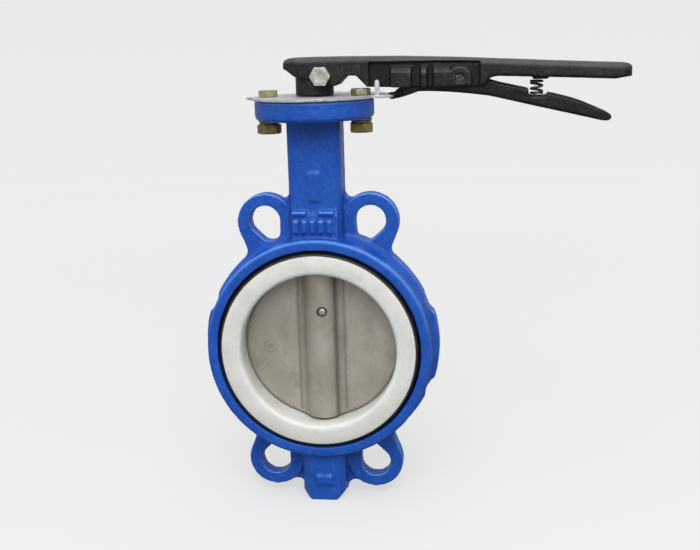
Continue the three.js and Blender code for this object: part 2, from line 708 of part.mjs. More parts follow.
function leverBody() {
  const { bossX, bossRadius, bossBottom } = lever;
  const reach = 30;
  let solid = alongY(leverSide(), -reach, reach).intersect(standing(leverPlan(), 150, 250));
  solid = solid.subtract(cheekPockets()).add(pivotBosses());
  solid = solid.add(rodZ(bossRadius, bossBottom, 210).translate([bossX, 0, 0]));
  const lug = springLug;
  solid = solid.add(block(lug.from, lug.to, -lug.halfWidth, lug.halfWidth, lug.low, lug.root));
  solid = solid.subtract(leverChannel());
  const half = lever.socket / 2;
  solid = solid.subtract(block(-half, half, -half, half, 190, 225));
  const slit = clampBolt.slit / 2;
  solid = solid.subtract(block(half - 0.5, 26, -slit, slit, 190, 214));
  const boltHole = rodY(clampBolt.holeRadius, -reach, reach);
  solid = solid.subtract(boltHole.translate([clampBolt.x, 0, clampBolt.z]));
  const pinBore = rodY(pivot.holeRadius, -reach, reach).translate([pivot.x, 0, pivot.z]);
  return solid.subtract(pinBore);
}

function clampScrew() {
  const { x, z, shankRadius, headFlats, headLow, headHigh } = clampBolt;
  const tail = 24.5;
  const shank = rodZ(shankRadius, -headLow - 1, tail, SMALL_SEGMENTS);
  const head = hexBody(headFlats, -headHigh, -headLow);
  return head.add(shank).rotate([-90, 0, 0]).translate([x, 0, z]);
}

function clampNut() {
  const { x, z, headFlats, headLow, nutHole, nutThickness } = clampBolt;
  return hexBody(headFlats, headLow, headLow + nutThickness, 12)
    .subtract(rodZ(nutHole, headLow - 1, headLow + nutThickness + 1, SMALL_SEGMENTS))
    .rotate([-90, 0, 0]).translate([x, 0, z]);
}

// ---------------------------------------------------------------- trigger

function triggerSide() {
  const { noseReach } = trigger;
  const shape = new THREE.Shape();
  shape.moveTo(noseReach, 193.2);
  shape.lineTo(noseReach, 190);
  shape.quadraticCurveTo(noseReach, 188, noseReach + 2.4, 188.1);
  shape.quadraticCurveTo(68, 189.8, 78, 193.6);
  shape.quadraticCurveTo(98, 193.8, 129.2, 189.4);
  shape.lineTo(207.5, 170.9);
  shape.quadraticCurveTo(216.4, 168.9, 216.4, 172.8);
  shape.quadraticCurveTo(216.2, 175.2, 210.5, 177.6);
  shape.lineTo(196, 184);
  shape.quadraticCurveTo(184, 188.6, 169.4, 191.4);
  shape.lineTo(136.7, 199);
  shape.lineTo(122, 203.6);
  shape.quadraticCurveTo(116, 209, 108, 209);
  shape.quadraticCurveTo(99, 209, 94, 203.4);
  shape.lineTo(76, 199.9);
  shape.lineTo(66, 197.4);
  shape.quadraticCurveTo(61.5, 195.6, 60.4, 193.4);
  return shape;
}

function triggerPlan() {
  const { noseHalfWidth, frontHalfWidth, gripHalfWidth, noseReach } = trigger;
  const shape = new THREE.Shape();
  shape.moveTo(noseReach - 2, -noseHalfWidth);
  shape.lineTo(62.5, -noseHalfWidth);
  shape.lineTo(68, -frontHalfWidth);
  shape.lineTo(138.5, -frontHalfWidth);
  shape.quadraticCurveTo(146, -frontHalfWidth, 152, -gripHalfWidth);
  shape.lineTo(208, -gripHalfWidth);
  shape.quadraticCurveTo(219, -gripHalfWidth, 219, -3);
  const near = shape.getPoints(6).map((point) => [point.x, point.y]);
  const far = near.map(([x, y]) => [x, -y]).reverse();
  return shapeOf([...near, ...far]);
}

// The seat that the spring's lower end sits in, open at both sides.
function springSaddle(reach) {
  const { x, halfWidth, floor, round } = trigger.saddle;
  const outline = [
    [x + halfWidth, 210], [x - halfWidth, 210],
    ...corner([x - halfWidth + round, floor + round], round, 180, 270, 3),
    ...corner([x + halfWidth - round, floor + round], round, 270, 360, 3),
  ];
  return alongY(shapeOf(outline), -reach, reach);
}

function squeezeTrigger() {
  const reach = 20;
  const solid = alongY(triggerSide(), -reach, reach).intersect(standing(triggerPlan(), 150, 230));
  const bore = rodY(pivot.holeRadius, -reach, reach).translate([pivot.x, 0, pivot.z]);
  return solid.subtract(springSaddle(reach)).subtract(bore);
}

// A rolled spring pin: a thin tube, slit along one side.
function pivotPin() {
  const { x, z, radius, hollow, slit } = pivot;
  const [from, to] = [-11.9, 11.9];
  const outline = [[hollow, from], [radius - 0.4, from], [radius, from + 0.5], [radius, to - 0.5],
    [radius - 0.4, to], [hollow, to], [hollow, from]];
  return turnedAboutY(outline, SMALL_SEGMENTS)
    .subtract(block(-slit / 2, slit / 2, from - 1, to + 1, 0, radius + 1))
    .translate([x, 0, z]);
}

class CoilCurve extends THREE.Curve {
  getPoint(t, target = new THREE.Vector3()) {
    const angle = 2 * Math.PI * spring.turns * t;
    const height = spring.low + spring.wire + (spring.high - spring.low - 2 * spring.wire) * t;
    return target.set(spring.x + spring.radius * Math.cos(angle),
      spring.radius * Math.sin(angle), height);
  }
}

function triggerSpring() {
  const section = shapeOf(corner([0, 0], spring.wire, 0, 300, 5));
  return solidFrom(new THREE.ExtrudeGeometry(section, {
    steps: Math.round(spring.turns * 11), bevelEnabled: false, extrudePath: new CoilCurve(),
  }));
}

// ---------------------------------------------------------------- assembly

const valve = new THREE.Group();

function place(name, solid, material) {
  valve.add(meshOf(name, solid, material));
}

place('body_casting', bodyCasting(), finishes.bluePaint);
place('seat_backing', seatBacking(), finishes.blackRubber);
place('seat_liner', seatLiner(), finishes.whiteSeat);

place('lower_bushing', bushing(bushings.lower), finishes.bronze);
place('middle_bushing', bushing(bushings.middle), finishes.bronze);
place('upper_bushing', bushing(bushings.upper), finishes.nylon);
place('thrust_disc', rodZ(bushings.lower.outerRadius, stemBore.bottom + GAP, stem.bottom - GAP),
  finishes.nylon);
oRing.heights.forEach((height, i) => {
  place(`stem_seal_${i + 1}`, sealRing(height), finishes.blackRubber);
});

place('stem', stemShaft(), finishes.stainless);
place('stem_retaining_ring', stemRetainingRing(), finishes.springSteel);
place('disc', valveDisc(), finishes.stainless);
place('taper_pin', taperPin(), finishes.stainless);

place('notch_plate', notchPlate(), finishes.plateSteel);
const flangeFasteners = [
  { side: 'left', x: -flange.boltOffset, headTurn: 30, nutTurn: 18 },
  { side: 'right', x: flange.boltOffset, headTurn: 13, nutTurn: 42 },
];
for (const { side, x, headTurn, nutTurn } of flangeFasteners) {
  place(`flange_bolt_${side}`, flangeScrew(headTurn).translate([x, 0, 0]), finishes.zinc);
  place(`flange_washer_${side}`, flangeWasher().translate([x, 0, 0]), finishes.zinc);
  place(`spring_washer_${side}`, flangeSpringWasher().translate([x, 0, 0]), finishes.brassPlate);
  place(`flange_nut_${side}`, flangeNut(nutTurn).translate([x, 0, 0]), finishes.brassPlate);
}

place('lever', leverBody(), finishes.blackCoat);
place('clamp_bolt', clampScrew(), finishes.zinc);
place('clamp_nut', clampNut(), finishes.zinc);
place('trigger_pivot_pin', pivotPin(), finishes.springSteel);
place('trigger', squeezeTrigger(), finishes.blackCoat);
place('trigger_spring', triggerSpring(), finishes.springSteel);

export default valve;
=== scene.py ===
"""The looks of a hand-lever wafer butterfly valve, built round its CAD frame.

Cast parts are softened copies of their CAD nodes. Turned, moulded and threaded parts are rebuilt
finer, where the frame says they are. Every size is in metres, written as millimetres times MM.
"""

import json
import math

import bmesh
import bpy
import numpy as np
from mathutils import Matrix, Vector


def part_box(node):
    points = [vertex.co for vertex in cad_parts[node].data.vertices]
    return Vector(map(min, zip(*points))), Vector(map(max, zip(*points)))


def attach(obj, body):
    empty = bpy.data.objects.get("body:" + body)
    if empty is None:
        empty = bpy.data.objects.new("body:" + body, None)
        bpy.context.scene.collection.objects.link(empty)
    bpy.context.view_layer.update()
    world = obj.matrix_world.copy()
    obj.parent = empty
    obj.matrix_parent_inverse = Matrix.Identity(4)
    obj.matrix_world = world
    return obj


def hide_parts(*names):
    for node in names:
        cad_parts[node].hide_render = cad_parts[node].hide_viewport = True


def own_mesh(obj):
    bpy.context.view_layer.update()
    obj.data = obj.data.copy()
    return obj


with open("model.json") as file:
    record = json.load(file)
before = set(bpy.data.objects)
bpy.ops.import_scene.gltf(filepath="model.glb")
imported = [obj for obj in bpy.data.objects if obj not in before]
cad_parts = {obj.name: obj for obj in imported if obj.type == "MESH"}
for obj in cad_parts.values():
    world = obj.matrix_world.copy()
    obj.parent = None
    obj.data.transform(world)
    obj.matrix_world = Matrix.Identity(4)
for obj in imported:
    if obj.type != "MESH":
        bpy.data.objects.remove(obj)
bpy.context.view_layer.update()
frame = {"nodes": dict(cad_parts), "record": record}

MM = 0.001
FULL_TURN = 2 * math.pi

# The CAD's large rounds have this many flats, which the softened copies lose again.
RING_FLATS = 48
RING_SEGMENTS = 256
ROUND_SEGMENTS = 96
SMALL_SEGMENTS = 48


# ---------------------------------------------------------------- camera, light and stage

CAMERA_PLACE = Vector((119.6, -746.8, 232.7)) * MM
CAMERA_YAW, CAMERA_PITCH, CAMERA_ROLL = -0.1285, 0.2327, -0.0288
CAMERA_LENS = 51.33
SENSOR_WIDTH = 36

FLOOR = -126 * MM
STAGE_BASE = 0.20
STAGE_GLOW = 0.855
# How far from the stem's axis, in metres, and how strongly the stage glows there.
GLOW_NEAR = (0.25, 0.66)
GLOW_FAR = (1.4, 0.735)

SKY_BELOW = (0.30, 0.30, 0.31, 1)
SKY_LEVEL = (0.62, 0.62, 0.63, 1)
SKY_ABOVE = (1.15, 1.15, 1.17, 1)

SOFTBOXES = {
    "overhead": {"place": (0.05, -0.6, 1.4), "target": (0, 0, 0.05), "size": 1.2, "power": 8},
    "front_fill": {"place": (0.2, -1.2, 1.05), "target": (0, 0, 0), "size": 1.2, "power": 18},
}


def add_camera():
    """The camera looks along +Y, turned by its yaw, tipped down by its pitch, then rolled."""
    ahead = Vector((
        math.sin(CAMERA_YAW) * math.cos(CAMERA_PITCH),
        math.cos(CAMERA_YAW) * math.cos(CAMERA_PITCH),
        -math.sin(CAMERA_PITCH),
    ))
    level = Vector((math.cos(CAMERA_YAW), -math.sin(CAMERA_YAW), 0))
    upright = level.cross(ahead)
    right = level * math.cos(CAMERA_ROLL) + upright * math.sin(CAMERA_ROLL)
    up = upright * math.cos(CAMERA_ROLL) - level * math.sin(CAMERA_ROLL)
    data = bpy.data.cameras.new("camera")
    data.lens = CAMERA_LENS
    data.sensor_width = SENSOR_WIDTH
    data.clip_start = 0.01
    camera = bpy.data.objects.new("camera", data)
    turn = Matrix((right, up, -ahead)).transposed().to_4x4()
    camera.matrix_world = Matrix.Translation(CAMERA_PLACE) @ turn
    bpy.context.scene.collection.objects.link(camera)
    bpy.context.scene.camera = camera


def add_softbox(name, place, target, size, power):
    data = bpy.data.lights.new(name, "AREA")
    data.shape = "DISK"
    data.size = size
    data.energy = power
    light = bpy.data.objects.new(name, data)
    light.location = place
    light.rotation_euler = (Vector(target) - Vector(place)).to_track_quat("-Z", "Y").to_euler()
    bpy.context.scene.collection.objects.link(light)


def add_sky():
    """A plain grey surround, brighter overhead than underfoot."""
    world = bpy.data.worlds.new("studio")
    world.use_nodes = True
    tree = world.node_tree
    coords = tree.nodes.new("ShaderNodeTexCoord")
    split = tree.nodes.new("ShaderNodeSeparateXYZ")
    height = tree.nodes.new("ShaderNodeMapRange")
    ramp = tree.nodes.new("ShaderNodeValToRGB")
    height.inputs["From Min"].default_value = -1
    height.inputs["From Max"].default_value = 1
    below, above = ramp.color_ramp.elements
    below.color = SKY_BELOW
    above.color = SKY_ABOVE
    level = ramp.color_ramp.elements.new(0.5)
    level.color = SKY_LEVEL
    tree.links.new(coords.outputs["Generated"], split.inputs[0])
    tree.links.new(split.outputs["Z"], height.inputs["Value"])
    tree.links.new(height.outputs[0], ramp.inputs[0])
    tree.links.new(ramp.outputs[0], tree.nodes["Background"].inputs["Color"])
    bpy.context.scene.world = world


def add_stage():
    """A pale floor that curves up all round into a pale wall."""
    floor_radius, wall_radius, wall_height, steps = 1.6, 3.0, 4.0, 12
    bend = wall_radius - floor_radius
    profile = [(0, FLOOR), (floor_radius, FLOOR)]
    for i in range(1, steps + 1):
        turn = math.pi / 2 * i / steps
        profile.append((floor_radius + bend * math.sin(turn), FLOOR + bend * (1 - math.cos(turn))))
    profile.append((wall_radius, wall_height))
    stage = turned("stage", profile, axis="Z", segments=96, closed=False)
    look = bpy.data.materials.new("stage_grey")
    look.use_nodes = True
    shader = look.node_tree.nodes["Principled BSDF"]
    shader.inputs["Base Color"].default_value = (STAGE_BASE, STAGE_BASE, STAGE_BASE, 1)
    shader.inputs["Roughness"].default_value = 1.0
    shader.inputs["Specular IOR Level"].default_value = 0.0
    shader.inputs["Emission Color"].default_value = (STAGE_GLOW, STAGE_GLOW, STAGE_GLOW, 1)
    fade_glow(look.node_tree, shader)
    stage.data.materials.append(look)
    stage.visible_diffuse = False
    stage.visible_glossy = False


def fade_glow(tree, shader):
    """The stage glows, a little more far from the valve, so the shadows on it stay faint."""
    coords = tree.nodes.new("ShaderNodeTexCoord")
    flat = tree.nodes.new("ShaderNodeVectorMath")
    flat.operation = "MULTIPLY"
    flat.inputs[1].default_value = (1, 1, 0)
    length = tree.nodes.new("ShaderNodeVectorMath")
    length.operation = "LENGTH"
    fade = tree.nodes.new("ShaderNodeMapRange")
    fade.inputs["From Min"].default_value, fade.inputs["To Min"].default_value = GLOW_NEAR
    fade.inputs["From Max"].default_value, fade.inputs["To Max"].default_value = GLOW_FAR
    tree.links.new(coords.outputs["Object"], flat.inputs[0])
    tree.links.new(flat.outputs[0], length.inputs[0])
    tree.links.new(length.outputs["Value"], fade.inputs["Value"])
    tree.links.new(fade.outputs[0], shader.inputs["Emission Strength"])


# ---------------------------------------------------------------- mesh helpers


def linked(name, mesh):
    obj = bpy.data.objects.new(name, mesh)
    bpy.context.scene.collection.objects.link(obj)
    return obj


def mesh_object(name, points, faces):
    mesh = bpy.data.meshes.new(name)
    mesh.from_pydata(points, [], faces)
    work = bmesh.new()
    work.from_mesh(mesh)
    bmesh.ops.remove_doubles(work, verts=work.verts, dist=1e-7)
    bmesh.ops.dissolve_degenerate(work, edges=work.edges, dist=1e-7)
    bmesh.ops.recalc_face_normals(work, faces=work.faces)
    work.to_mesh(mesh)
    work.free()
    return linked(name, mesh)


def settle(obj):
    """Applies a piece's modifiers to its mesh."""
    graph = bpy.context.evaluated_depsgraph_get()
    mesh = bpy.data.meshes.new_from_object(obj.evaluated_get(graph))
    obj.modifiers.clear()
    obj.data = mesh
    return obj


def copy_of(node, name):
    mesh = frame["nodes"][node].data.copy()
    mesh.materials.clear()
    work = bmesh.new()
    work.from_mesh(mesh)
    bmesh.ops.remove_doubles(work, verts=work.verts, dist=1e-6)
    work.to_mesh(mesh)
    work.free()
    return linked(name, mesh)


def points_of(obj):
    co = np.empty(len(obj.data.vertices) * 3)
    obj.data.vertices.foreach_get("co", co)
    return co.reshape(-1, 3)


def normals_of(obj):
    normals = np.empty(len(obj.data.vertices) * 3)
    obj.data.vertices.foreach_get("normal", normals)
    return normals.reshape(-1, 3)


def move_points(obj, co):
    obj.data.vertices.foreach_set("co", co.ravel())
    obj.data.update()


def shade(obj, angle=32):
    """Smooth shading, with edges sharper than the angle left crisp."""
    mesh = obj.data
    mesh.polygons.foreach_set("use_smooth", [True] * len(mesh.polygons))
    mesh.set_sharp_from_angle(angle=math.radians(angle))
    return obj


def turned(name, profile, axis, segments=ROUND_SEGMENTS, closed=True):
    """A profile of (radius, along) points turned about Z or Y."""
    points, faces = [], []
    count = len(profile)
    for i in range(segments):
        turn = FULL_TURN * i / segments
        for radius, along in profile:
            across = (radius * math.cos(turn), radius * math.sin(turn))
            points.append((*across, along) if axis == "Z" else (across[0], along, across[1]))
    spans = count if closed else count - 1
    for i in range(segments):
        for j in range(spans):
            k, step, after = i * count, ((i + 1) % segments) * count, (j + 1) % count
            faces.append((k + j, k + after, step + after, step + j))
    return mesh_object(name, points, faces)


def curved(points, steps=6):
    """A smooth line through a few points, by Catmull-Rom."""
    padded = [points[0], *points, points[-1]]
    line = []
    for a, b, c, d in zip(padded, padded[1:], padded[2:], padded[3:]):
        a, b, c, d = (np.array(p, float) for p in (a, b, c, d))
        for i in range(steps):
            t = i / steps
            line.append(tuple(
                b + 0.5 * t * (c - a + t * (2 * a - 5 * b + 4 * c - d + t * (3 * (b - c) + d - a)))
            ))
    line.append(tuple(points[-1]))
    return line


def combine(obj, other, operation):
    """Joins, cuts or trims a piece with another, which is used up."""
    change = obj.modifiers.new(operation.lower(), "BOOLEAN")
    change.operation = operation
    change.solver = "EXACT"
    change.object = other
    settle(obj)
    bpy.data.objects.remove(other)
    return obj


def rod(radius, low, high, axis="Z", place=(0, 0), segments=ROUND_SEGMENTS):
    """A plain cylinder, to cut with or to join."""
    tool = turned("tool", [(0, low), (radius, low), (radius, high), (0, high)], axis, segments,
        closed=False)
    a, b = place
    tool.data.transform(Matrix.Translation((a, b, 0) if axis == "Z" else (a, 0, b)))
    return tool


def bevelled(obj, width, angle=30, segments=2):
    bevel = obj.modifiers.new("bevel", "BEVEL")
    bevel.width = width
    bevel.segments = segments
    bevel.limit_method = "ANGLE"
    bevel.angle_limit = math.radians(angle)
    bevel.use_clamp_overlap = True
    return shade(settle(obj))


# ---------------------------------------------------------------- cast, pressed and turned pieces

BACKING_STEM_HOLE = 12.5 * MM
LINER_STEM_HOLE = 9.85 * MM
STEM_HOLE_REACH = 90 * MM

EJECTOR_MARK = (-41.6 * MM, -3.2 * MM)
HUB_SIDE = 12 * MM

FASTENER_BEVEL = 0.15 * MM
SMALL_HEAD_FLATS = 13 * MM
NUT_FLATS = 16 * MM
THREAD_DEPTH = 0.54
THREAD_ROWS = 8


def softened(node, name, voxel, passes, texture_depth=0.0):
    """A cast copy of a node: corners and inner fillets rounded, and the skin slightly uneven."""
    obj = copy_of(node, name)
    remesh = obj.modifiers.new("skin", "REMESH")
    remesh.mode = "VOXEL"
    remesh.voxel_size = voxel
    smooth = obj.modifiers.new("soften", "SMOOTH")
    smooth.factor = 0.5
    smooth.iterations = passes
    if texture_depth:
        grain = bpy.data.textures.new(name + "_grain", "CLOUDS")
        grain.noise_scale = 7 * MM
        grain.noise_depth = 3
        uneven = obj.modifiers.new("uneven", "DISPLACE")
        uneven.texture = grain
        uneven.strength = texture_depth
        uneven.mid_level = 0.5
    settle(obj)
    obj.data.polygons.foreach_set("use_smooth", [True] * len(obj.data.polygons))
    return obj


def rounded_out(obj, axes, start, end, above=None):
    """Turns flats about an axis into a true round, out to one radius and fading by another."""
    co = points_of(obj)
    a, b = co[:, axes[0]], co[:, axes[1]]
    flat = FULL_TURN / RING_FLATS
    off_middle = np.arctan2(b, a) % flat - flat / 2
    share = np.clip((end - np.hypot(a, b)) / (end - start), 0, 1)
    if above is not None:
        share = share * (co[:, 2] > above)
    factor = 1 + share * (np.cos(off_middle) / math.cos(flat / 2) - 1)
    co[:, axes[0]] = a * factor
    co[:, axes[1]] = b * factor
    move_points(obj, co)


def mark_edges(obj, strength, spread=3):
    """Stores on each point how much it stands out into the light from above (edge), for a painted
    highlight, and how much it lies in a hollow, for painted shade."""
    mesh = obj.data
    co = points_of(obj)
    normals = normals_of(obj)
    ends = np.empty(len(mesh.edges) * 2, int)
    mesh.edges.foreach_get("vertices", ends)
    a, b = ends.reshape(-1, 2).T
    along = co[b] - co[a]
    along /= np.maximum(np.linalg.norm(along, axis=1, keepdims=True), 1e-9)
    total, count = np.zeros(len(co)), np.zeros(len(co))
    for here, way in ((a, along), (b, -along)):
        np.add.at(total, here, (normals[here] * way).sum(1))
        np.add.at(count, here, 1)
    count = np.maximum(count, 1)
    bend = total / count
    for _ in range(spread):
        mean = np.zeros(len(co))
        np.add.at(mean, a, bend[b])
        np.add.at(mean, b, bend[a])
        bend = 0.5 * bend + 0.5 * mean / count
    # The edge value becomes a painted highlight on convex edges that face up; the hollow value becomes
    # painted shade.
    lit = np.clip(0.3 + 1.2 * normals[:, 2], 0, 1)
    for name, values in (("edge", -bend * lit), ("hollow", bend)):
        layer = mesh.attributes.new(name, "FLOAT", "POINT")
        layer.data.foreach_set("value", np.clip(values * strength, 0, 1).astype(np.float32))


def rounded_edges(obj, radius, start, end, side=1):
    """Rounds the two long edges on top of a bar along X (or, with side -1, those underneath)."""
    co = points_of(obj)
    bins = np.floor(co[:, 0] / (1 * MM)).astype(int)
    height = side * co[:, 2]
    out = np.abs(co[:, 1])
    for k in range(int(start / MM), int(end / MM)):
        here = np.flatnonzero(bins == k)
        top = height[here].max()
        here = here[height[here] > top - radius]
        across = np.maximum(out[here] - (out[here].max() - radius), 0)
        up = np.maximum(height[here] - (top - radius), 0)
        length = np.maximum(np.hypot(across, up), 1e-9)
        shrink = 1 - np.maximum(across, up) / length
        co[here, 1] -= np.sign(co[here, 1]) * across * shrink
        co[here, 2] -= side * up * shrink
    move_points(obj, co)


def change_stored(obj, name, amount, change):
    """Puts a stored value of each point through a change with this amount."""
    layer = obj.data.attributes[name]
    values = np.empty(len(obj.data.vertices), np.float32)
    layer.data.foreach_get("value", values)
    layer.data.foreach_set("value", change(values, amount).astype(np.float32))


def at_least(obj, name, amount):
    change_stored(obj, name, amount, np.maximum)


def at_most(obj, name, amount):
    change_stored(obj, name, amount, np.minimum)


def darkened_round(obj, place, radius, width, share=1):
    """Makes a ring on a piece's front count as a hollow: painted shade in the gap there."""
    co = points_of(obj)
    across = np.hypot(co[:, 0] - place[0], co[:, 2] - place[1])
    at_least(obj, "hollow", share * np.exp(-((across - radius) / width) ** 2) * (co[:, 1] < 0))


def crisp(node, name, width):
    """A machined or pressed copy of a node, with its edges just broken."""
    obj = copy_of(node, name)
    work = bmesh.new()
    work.from_mesh(obj.data)
    bmesh.ops.dissolve_limit(work, angle_limit=math.radians(1), verts=work.verts, edges=work.edges)
    work.to_mesh(obj.data)
    work.free()
    return bevelled(obj, width)


def body_casting():
    """The body, with the marks of its sand mould in its skin. It has a painted shadow just under the
    plate, and the lower rim of its bore has no painted highlight."""
    shadow_start, shadow_depth, rim_radius = 188.6 * MM, 0.8 * MM, 82 * MM
    obj = softened("body_casting", "cast_body", voxel=1.0 * MM, passes=3, texture_depth=0.35 * MM)
    rounded_out(obj, (0, 2), start=93 * MM, end=100 * MM)
    rounded_out(obj, (0, 1), start=46 * MM, end=50 * MM, above=174 * MM)
    mark_edges(obj, strength=6)
    co = points_of(obj)
    # Painted shadow on the body just under the plate.
    at_least(obj, "hollow", np.clip((co[:, 2] - shadow_start) / shadow_depth, 0, 1))
    # No painted highlight on the lower rim of the bore.
    lower_rim = (np.hypot(co[:, 0], co[:, 2]) < rim_radius) & (co[:, 2] < 0)
    at_most(obj, "edge", np.where(lower_rim, 0.1, 1))
    return obj


def rubber_backing():
    """The rubber behind the liner: a sloped shoulder at each face, and a groove outside it."""
    _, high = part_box("seat_backing")
    outer, face = high.x, high.y
    inner, step, rim = 65.5 * MM, 24.5 * MM, 75.3 * MM
    half = [
        (outer, 0), (outer, face - 9 * MM), (outer - 1.1 * MM, face - 7 * MM),
        *curved([
            (outer - 1.2 * MM, face - 3.4 * MM), (outer - 1.7 * MM, face - 1.6 * MM),
            (rim + 1.0 * MM, face - 0.4 * MM), (rim + 0.3 * MM, face),
        ]),
        (rim, face), (rim, step), (inner, step),
    ]
    front = [(radius, -along) for radius, along in reversed(half)]
    obj = turned("rubber_ring", [*half[1:], *front[:-1]], "Y", RING_SEGMENTS)
    combine(obj, rod(BACKING_STEM_HOLE, -STEM_HOLE_REACH, STEM_HOLE_REACH), "DIFFERENCE")
    return shade(obj)


def seat_liner():
    """The liner: flat pipe faces with a rolled inner edge, and a throat that swells slightly."""
    _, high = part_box("seat_liner")
    rim, face = high.x, high.y
    throat, lip, wall = 61.8 * MM, 60.1 * MM, 3.4 * MM
    inside = curved([
        (throat, 0), (throat - 0.3 * MM, 6.5 * MM), (throat - 1.0 * MM, 12.5 * MM),
        (lip, 18 * MM), (lip - 0.1 * MM, 22 * MM), (lip + 0.1 * MM, 24.8 * MM),
        (lip + 0.8 * MM, 26.6 * MM), (lip + 2.1 * MM, face - 0.4 * MM), (lip + 3.8 * MM, face),
    ])
    half = [
        *inside, (rim - 0.7 * MM, face), (rim - 0.2 * MM, face - 0.2 * MM), (rim, face - 0.7 * MM),
        (rim, face - 3.2 * MM), (throat + wall, face - 3.2 * MM),
    ]
    front = [(radius, -along) for radius, along in reversed(half)]
    obj = turned("liner", [*half, *front[:-1]], "Y", RING_SEGMENTS)
    combine(obj, rod(LINER_STEM_HOLE, -STEM_HOLE_REACH, STEM_HOLE_REACH), "DIFFERENCE")
    return shade(obj)


def disc_casting():
    """The disc, with a shallow round ejector mark cast on its front, and painted shade beside its hub
    and round its pin.
    """
    obj = softened("disc", "disc_blade", voxel=0.6 * MM, passes=8, texture_depth=0.12 * MM)
    rounded_out(obj, (0, 2), start=70 * MM, end=80 * MM)
    co = points_of(obj)
    across = np.hypot(co[:, 0] - EJECTOR_MARK[0], co[:, 2] - EJECTOR_MARK[1])
    front = co[:, 1] < -2.5 * MM
    ring = np.exp(-((across - 3.4 * MM) / (0.7 * MM)) ** 2)
    co[:, 1] -= front * 0.3 * MM * ring
    move_points(obj, co)
    mark_edges(obj, strength=11, spread=8)
    # Painted shade beside the hub.
    beside_hub = np.exp(-((co[:, 0] - HUB_SIDE) / (1.9 * MM)) ** 2)
    at_least(obj, "hollow", 0.3 * front * beside_hub)
    low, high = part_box("taper_pin")
    # Painted shade in the gap round the taper pin, and faintly round the ejector mark.
    darkened_round(obj, ((low.x + high.x) / 2, (low.z + high.z) / 2), 3.7 * MM, 0.5 * MM)
    darkened_round(obj, EJECTOR_MARK, 4.4 * MM, 0.5 * MM, share=0.12)
    return obj


def hub_pin():
    """The taper pin, domed at its big end, which stands just proud of the hub."""
    low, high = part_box("taper_pin")
    middle = (low + high) / 2
    big, small = 3.2 * MM, 2.8 * MM
    profile = [
        (0, low.y), *curved([(0.5 * MM, low.y), (1.7 * MM, low.y + 0.15 * MM),
            (2.6 * MM, low.y + 0.5 * MM), (big, low.y + 1.3 * MM)], 4),
        (small, high.y - 0.4 * MM), (small - 0.4 * MM, high.y), (0, high.y),
    ]
    obj = turned("hub_pin", profile, "Y", SMALL_SEGMENTS, closed=False)
    obj.data.transform(Matrix.Translation((middle.x, 0, middle.z)))
    return shade(obj)


def fastener_edges(obj):
    """Breaks the sharp corners of a bolt or a nut."""
    return bevelled(obj, FASTENER_BEVEL, angle=35)


def chamfered_hexagon(name, flats, low, high, turn, both_ends=True):
    """A hexagonal head or nut, its corners turned down to a cone on top, or at both ends."""
    corners = flats / math.sqrt(3)
    points = []
    for height in (low, high):
        for i in range(6):
            angle = turn + FULL_TURN * i / 6
            points.append((corners * math.cos(angle), corners * math.sin(angle), height))
    sides = [(i, (i + 1) % 6, 6 + (i + 1) % 6, 6 + i) for i in range(6)]
    obj = mesh_object(name, points, [tuple(range(6)), tuple(range(6, 12)), *sides])
    face, rim = flats / 2 - 0.1 * MM, corners + 0.2 * MM
    drop = (rim - face) * math.tan(math.radians(24))
    cone = [(0, high), (face, high), (rim, high - drop)]
    cone += [(rim, low + drop), (face, low), (0, low)] if both_ends else [(rim, low), (0, low)]
    return combine(obj, turned("tool", cone, "Z", ROUND_SEGMENTS, closed=False), "INTERSECT")


def threaded_rod(name, radius, low, high, pitch):
    """A thread cut from one end to the other, fading at both, with flat ends."""
    depth = THREAD_DEPTH * pitch
    rows = int((high - low) / pitch * THREAD_ROWS)
    points, faces = [], []
    for j in range(rows + 1):
        height = low + (high - low) * j / rows
        fade = min(1, (height - low) / pitch, (high - height) / pitch)
        for i in range(SMALL_SEGMENTS):
            turn = i / SMALL_SEGMENTS
            phase = (height / pitch - turn) % 1
            cut = depth * (1 - abs(2 * phase - 1)) * fade + 0.5 * depth * (1 - fade)
            across = radius - cut
            points.append((across * math.cos(FULL_TURN * turn), across * math.sin(FULL_TURN * turn),
                height))
    for j in range(rows):
        for i in range(SMALL_SEGMENTS):
            a, b = j * SMALL_SEGMENTS + i, j * SMALL_SEGMENTS + (i + 1) % SMALL_SEGMENTS
            faces.append((a, b, b + SMALL_SEGMENTS, a + SMALL_SEGMENTS))
    last = rows * SMALL_SEGMENTS
    faces.append(tuple(range(SMALL_SEGMENTS)))
    faces.append(tuple(range(last, last + SMALL_SEGMENTS)))
    return mesh_object(name, points, faces)


def moved(obj, place):
    obj.data.transform(Matrix.Translation(place))
    return obj


def flange_bolt(side, turn):
    """A hexagon bolt with a small head, and a thread at its foot."""
    low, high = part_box("flange_bolt_" + side)
    middle = (low + high) / 2
    under, shank = 192 * MM, 4.7 * MM
    obj = chamfered_hexagon("bolt_" + side, SMALL_HEAD_FLATS, under, high.z, turn, both_ends=False)
    combine(obj, rod(shank, low.z + 11 * MM, under + 1 * MM, segments=SMALL_SEGMENTS), "UNION")
    thread = threaded_rod("tool", shank, low.z, low.z + 12 * MM, 1.5 * MM)
    combine(obj, thread, "UNION")
    return moved(fastener_edges(obj), (middle.x, middle.y, 0))


def flange_nut(side, turn):
    low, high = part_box("flange_nut_" + side)
    middle = (low + high) / 2
    bore = 5 * MM
    obj = chamfered_hexagon("nut_" + side, NUT_FLATS, low.z, high.z, turn)
    cut = turned("tool", [
        (0, low.z - 1 * MM), (bore + 1.6 * MM, low.z - 1 * MM), (bore, low.z + 0.6 * MM),
        (bore, high.z - 0.6 * MM), (bore + 1.6 * MM, high.z + 1 * MM), (0, high.z + 1 * MM),
    ], "Z", SMALL_SEGMENTS, closed=False)
    combine(obj, cut, "DIFFERENCE")
    return moved(fastener_edges(obj), (middle.x, middle.y, 0))


